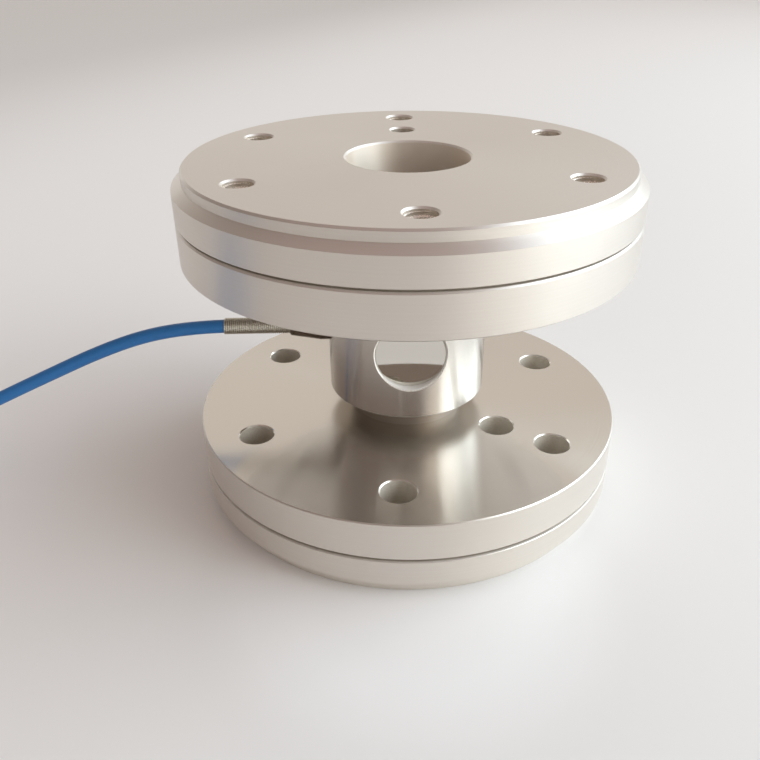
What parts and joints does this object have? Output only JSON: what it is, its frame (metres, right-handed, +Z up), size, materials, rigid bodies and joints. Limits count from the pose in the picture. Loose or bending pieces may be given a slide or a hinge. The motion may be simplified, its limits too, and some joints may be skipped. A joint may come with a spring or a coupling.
{
  "type": "column load cell",
  "caption": "Flanged column load cell: thick turned flanges with bolt circles on a short pocketed gauge column, and a side cable in a spring strain relief.",
  "frame": {"origin": "middle of the lower flange's bottom face", "axes": "+Z up along the column, -Y out of the front pocket, -X the way the cable leaves"},
  "size_m": [0.3209, 0.1332, 0.1],
  "materials": {
    "turned_steel": "fine turned, plated",
    "column_steel": "fine turned, plated",
    "cover_steel": "polished",
    "screw_steel": "blackened",
    "gasket_rubber": "smooth",
    "gauge_foil": "amber film",
    "board_laminate": "lacquered",
    "core_insulation": "smooth",
    "gland_metal": "dark plated",
    "spring_wire": "drawn wire",
    "cable_jacket": "satin, extruded",
    "tie_nylon": "moulded",
    "sleeve_shrink": "heat shrunk",
    "lead_red": "smooth",
    "lead_black": "smooth",
    "lead_green": "smooth",
    "lead_white": "smooth"
  },
  "bodies": {
    "root": {"upper_flange": "turned_steel", "lower_flange": "turned_steel", "column": "column_steel", "upper_clamp_screws": "screw_steel", "lower_clamp_screws": "screw_steel", "gland_body": "gland_metal", "gland_seal": "gasket_rubber", "gland_nut": "gland_metal", "strain_relief_spring": "spring_wire", "cable": "cable_jacket", "cable_coil": "cable_jacket", "cable_tail": "cable_jacket", "coil_ties": "tie_nylon", "end_sleeve": "sleeve_shrink", "lead_red": "lead_red", "lead_black": "lead_black", "lead_green": "lead_green", "lead_white": "lead_white", "front_cover": "cover_steel", "front_cover_gasket": "gasket_rubber", "front_strain_gauge": "gauge_foil", "front_terminal_board": "board_laminate", "front_bridge_wires": "core_insulation", "back_cover": "cover_steel", "back_cover_gasket": "gasket_rubber", "back_strain_gauge": "gauge_foil", "back_terminal_board": "board_laminate", "back_bridge_wires": "core_insulation"}
  },
  "joints": []
}
